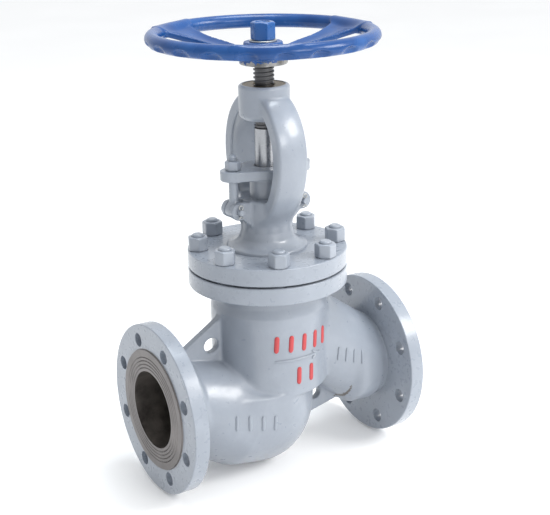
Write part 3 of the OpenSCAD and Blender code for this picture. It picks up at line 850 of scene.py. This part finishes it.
THREAD_LOW = 340.0  # low enough to stay in the yoke nut when the valve is open
stem_profile = [(0, 54.3), (14, 54.3), (16, 56.3), (16, 62.3), (10, 62.3), (10, 70.3), (12.6, 70.3),
                (13, 70.9), (13, 120.9), (17, 124.9), (17, 126.9), (13, 130.9), (13, THREAD_LOW),
                (11.2, THREAD_LOW + 1.2), (11.2, 419.9), (11.9, 420.2)]
stem_profile += [(11.9, 446), (8.9, 446), (8.9, 468.6), (7.6, 470.0), (6.4, 469.8), (5.8, 469.3), (0, 469.3)]
stem = make("stem_turned_bar", [lathe(stem_profile, 72)])
thread = make("stem_thread", [screw(13.0, 10.4, 5.0, THREAD_LOW + 0.2, 419.8, 64, 0.36, 0.34)], merge=1e-6)
finish_piece(stem, "spindle", ["stem"], [thread_steel, blue_nut_paint, satin_steel], 32,
             lambda c, n: np.where(c[:, 2] > 460, 1, np.where(c[:, 2] < THREAD_LOW, 2, 0)))
finish_piece(thread, "spindle", [], [thread_steel], 32, weighted=False)

# ------------------------------------------------------------------ handwheel

WHEEL_R, WHEEL_Z, RIM_R = 135.0, 454.0, 9.0
GRIPS = 21


def wheel_field(x, y, z):
    r = np.sqrt(x * x + y * y)
    a = np.arctan2(y, x)
    dr, dz = r - WHEEL_R, z - WHEEL_Z
    rim = np.sqrt(dr * dr + dz * dz) - RIM_R
    wave = (a * GRIPS / (2 * np.pi)) % 1.0 - 0.5
    run = wave * 2 * np.pi / GRIPS * (WHEEL_R + RIM_R)
    grip = np.sqrt((run / 1.75) ** 2 + (dr - 9.5) ** 2 + (dz + 7.0) ** 2) - 7.6
    rim = smax(rim, -grip, 1.6)
    hub = polygon(r, z, [(-20, 421.5), (28.5, 421.5), (28.5, 429.5), (26.5, 430.5), (22.5, 445.5),
                         (-20, 445.5)]) - 1.5
    d = np.full(np.shape(x), 1e9)
    for i in range(3):
        t = 2 * np.pi * i / 3
        u, v = x * math.cos(t) + y * math.sin(t), -x * math.sin(t) + y * math.cos(t)
        s = np.clip((u - 22) / 113.0, 0, 1)
        half = 13 + 6 * s + 19 * np.clip((s - 0.52) / 0.48, 0, 1) ** 1.8
        middle = 431.0 + 22.5 * s ** 1.7 + 4.4 * (v / half) ** 2 * np.clip(s * 3, 0, 1)
        plate = smax(np.abs(v) - half, np.abs(z - middle) - 3.8, 2.5) * 0.9
        plate = np.maximum(plate, np.maximum(10 - u, u - 133))
        d = np.minimum(d, plate)
    return smin(smin(rim, d, 6), hub, 5)


wheel = make("handwheel_casting", [skin(wheel_field, (-148, -148, 417), (148, 148, 467), 1.7)])
square = lathe([(0, 400), (9 * math.sqrt(2), 400), (9 * math.sqrt(2), 480), (0, 480)], 4)
combine(wheel, [spun(square, 45)], "DIFFERENCE")
finish_piece(wheel, "spindle", ["handwheel"], [blue_enamel], 50, weighted=False)

top_nut = spun(nut_part(27, 22, 8.95, 0.9, 1.0), 20 + 30)
wheel_nut = make("handwheel_hex_nut", [moved(top_nut, (0, 0, 449))])
finish_piece(wheel_nut, "spindle", ["handwheel_nut"], [blue_nut_paint], 60, weighted=False)

washer_profile = [(9.4, 447), (16.6, 447), (17, 447.4), (17, 448.6), (16.6, 449), (9.4, 449)]
washer = make("handwheel_flat_washer", [lathe(washer_profile, 72)])
finish_piece(washer, "spindle", ["handwheel_washer"], [zinc], 30)

# ------------------------------------------------------------------ yoke nut and its screws

yoke_nut_profile = [(13.1, 352), (19.6, 352), (20, 352.4), (20, 390), (27, 390), (27, 394), (26.5, 394.5),
                    (14.6, 394.5), (13.1, 393)]
yoke_nut = make("yoke_nut_sleeve", [lathe(yoke_nut_profile, 96)])
finish_piece(yoke_nut, "root", ["yoke_nut"], [bronze], 30)
NUT_SCREW_X = 23.5
screw_profile = rounded(2.45, 377, 394.0, 0.3, 2)
screw_parts = [lathe(screw_profile, 32, "z", (side * NUT_SCREW_X, 0, 0)) for side in (-1, 1)]
screws = make("yoke_nut_set_screws", screw_parts)
slot_corners = np.array([(a, b, c) for a in (-30, 30) for b in (-0.4, 0.4) for c in (392.6, 397)], float)
slot_faces = [[0, 1, 3, 2], [4, 6, 7, 5], [0, 4, 5, 1], [2, 3, 7, 6], [0, 2, 6, 4], [1, 5, 7, 3]]
combine(screws, [(slot_corners, slot_faces)], "DIFFERENCE")
finish_piece(screws, "root", ["yoke_nut_screws"], [black_steel], 30)

# ------------------------------------------------------------------ gasket

gasket_profile = [(64, BODY_TOP), (78.8, BODY_TOP), (79, 162.3), (79, 164.2), (78.8, BONNET_Z), (64, BONNET_Z)]
gasket = make("bonnet_gasket_ring", [lathe(gasket_profile, 128)])
finish_piece(gasket, "root", ["bonnet_gasket"], [graphite], 30)

# ------------------------------------------------------------------ raised casting marks


def tree_of(obj):
    bm = bmesh.new()
    bm.from_mesh(obj.data)
    tree = BVHTree.FromBMesh(bm)
    bm.free()
    return tree


def stroke(tree, points, toward, width, height):
    """A raised bar that follows the surface under points, mm from the stem axis, seen along toward."""
    toward = Vector(toward).normalized()
    points = [Vector(p) for p in points]
    fine = []
    for a, b in zip(points, points[1:]):
        count = max(2, int((b - a).length / 1.2))
        fine += [a.lerp(b, i / count) for i in range(count)]
    fine.append(points[-1])
    verts, faces = [], []
    shape = [(-0.5, -0.6), (-0.48, 0.25), (-0.34, 0.82), (0, 1.0), (0.34, 0.82), (0.48, 0.25), (0.5, -0.6)]
    for i, p in enumerate(fine):
        ahead = (fine[min(i + 1, len(fine) - 1)] - fine[max(i - 1, 0)]).normalized()
        side = ahead.cross(toward).normalized()
        end = min(i, len(fine) - 1 - i)
        scale = (0.45, 0.8, 0.95, 1.0)[min(end, 3)]
        for across, up in shape:
            q = p + side * across * width * scale
            start = (q + Vector((STEM_X, 0, 0))) * MM - toward * 0.2
            hit, normal, _, _ = tree.ray_cast(start, toward, 0.5)
            if hit is None:
                hit, normal = start + toward * 0.2, -toward
            where = hit + normal * (height * MM * (up if up < 0 else up * (0.4 + 0.6 * scale)))
            verts.append(tuple(where / MM - Vector((STEM_X, 0, 0))))
    n = len(shape)
    for i in range(len(fine) - 1):
        for k in range(n - 1):
            faces.append([i * n + k, i * n + k + 1, (i + 1) * n + k + 1, (i + 1) * n + k])
        faces.append([i * n + n - 1, i * n, (i + 1) * n, (i + 1) * n + n - 1])
    faces.append(list(range(n)))
    faces.append([len(verts) - 1 - k for k in range(n)])
    return np.array(verts), faces


surface = tree_of(body)
MARK_H = 1.7


def around(angle, z, radius=90.0):
    """A point off the chest at this angle from the front, towards the outlet."""
    t = math.radians(angle)
    return (radius * math.sin(t), -radius * math.cos(t), z)


def chest_bar(angle, low, high, slant=0.0):
    t = math.radians(angle)
    ends = [around(angle, low), around(angle + slant, high)]
    return stroke(surface, ends, (-math.sin(t), math.cos(t), 0), 6.6, MARK_H)


red = [chest_bar(-25 + 14.5 * i, 66.5 - 1.1 * i, 88.5 - 0.8 * i, 1.0) for i in range(5)]
red += [chest_bar(-2 + 15 * i, 20, 43, 0.5) for i in range(2)]
red_marks = make("raised_size_marks", red)
finish_piece(red_marks, "root", [], [red_paint], 60, weighted=False)

ARROW_Z = 54.5
grey = [stroke(surface, [around(a, ARROW_Z) for a in np.linspace(-22, 22, 14)], (0, 1, 0), 3.4, MARK_H)]
for lift in (-5.5, 5.5):
    head = [around(22, ARROW_Z), around(15, ARROW_Z + lift)]
    inward = (-math.sin(math.radians(18)), math.cos(math.radians(18)), 0)
    grey.append(stroke(surface, head, inward, 3.4, MARK_H))
for i in range(4):  # across the bowl
    x0, low = -91 + 17.3 * i, -26 - 3.4 * i
    grey.append(stroke(surface, [(x0, -120, low), (x0 + 1.5, -120, low + 20)], (0, 1, 0), 5.0, MARK_H))
for i in range(4):  # along the outlet limb
    x0, low = 71 + 12.7 * i, 28 - 4.6 * i
    grey.append(stroke(surface, [(x0, -120, low), (x0 + 1.0, -120, low + 19)], (0, 1, 0), 4.0, MARK_H))
marks = make("raised_casting_marks", grey)
finish_piece(marks, "root", [], [cast_paint], 60, weighted=False)

# ------------------------------------------------------------------ CAD pieces that keep their shape

for node, material in {
    "seat_ring": stainless, "backseat_bushing": bronze, "packing_washer": stainless,
    "packing_rings": graphite, "disc": stainless, "disc_cover": stainless, "thrust_ring": stainless,
}.items():
    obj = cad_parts[node]
    for index in range(max(1, len(obj.data.materials))):
        if len(obj.data.materials) <= index:
            obj.data.materials.append(material)
        else:
            obj.data.materials[index] = material

# ------------------------------------------------------------------ floor

size, z_floor = 9.0, -0.1125
floor_mesh = bpy.data.meshes.new("floor")
floor_corners = [(x * size, y * size, z_floor) for x, y in ((-1, -1), (1, -1), (1, 1), (-1, 1))]
floor_mesh.from_pydata(floor_corners, [], [[0, 1, 2, 3]])
floor_mesh.materials.append(floor_mat())
floor = bpy.data.objects.new("floor", floor_mesh)
bpy.context.scene.collection.objects.link(floor)
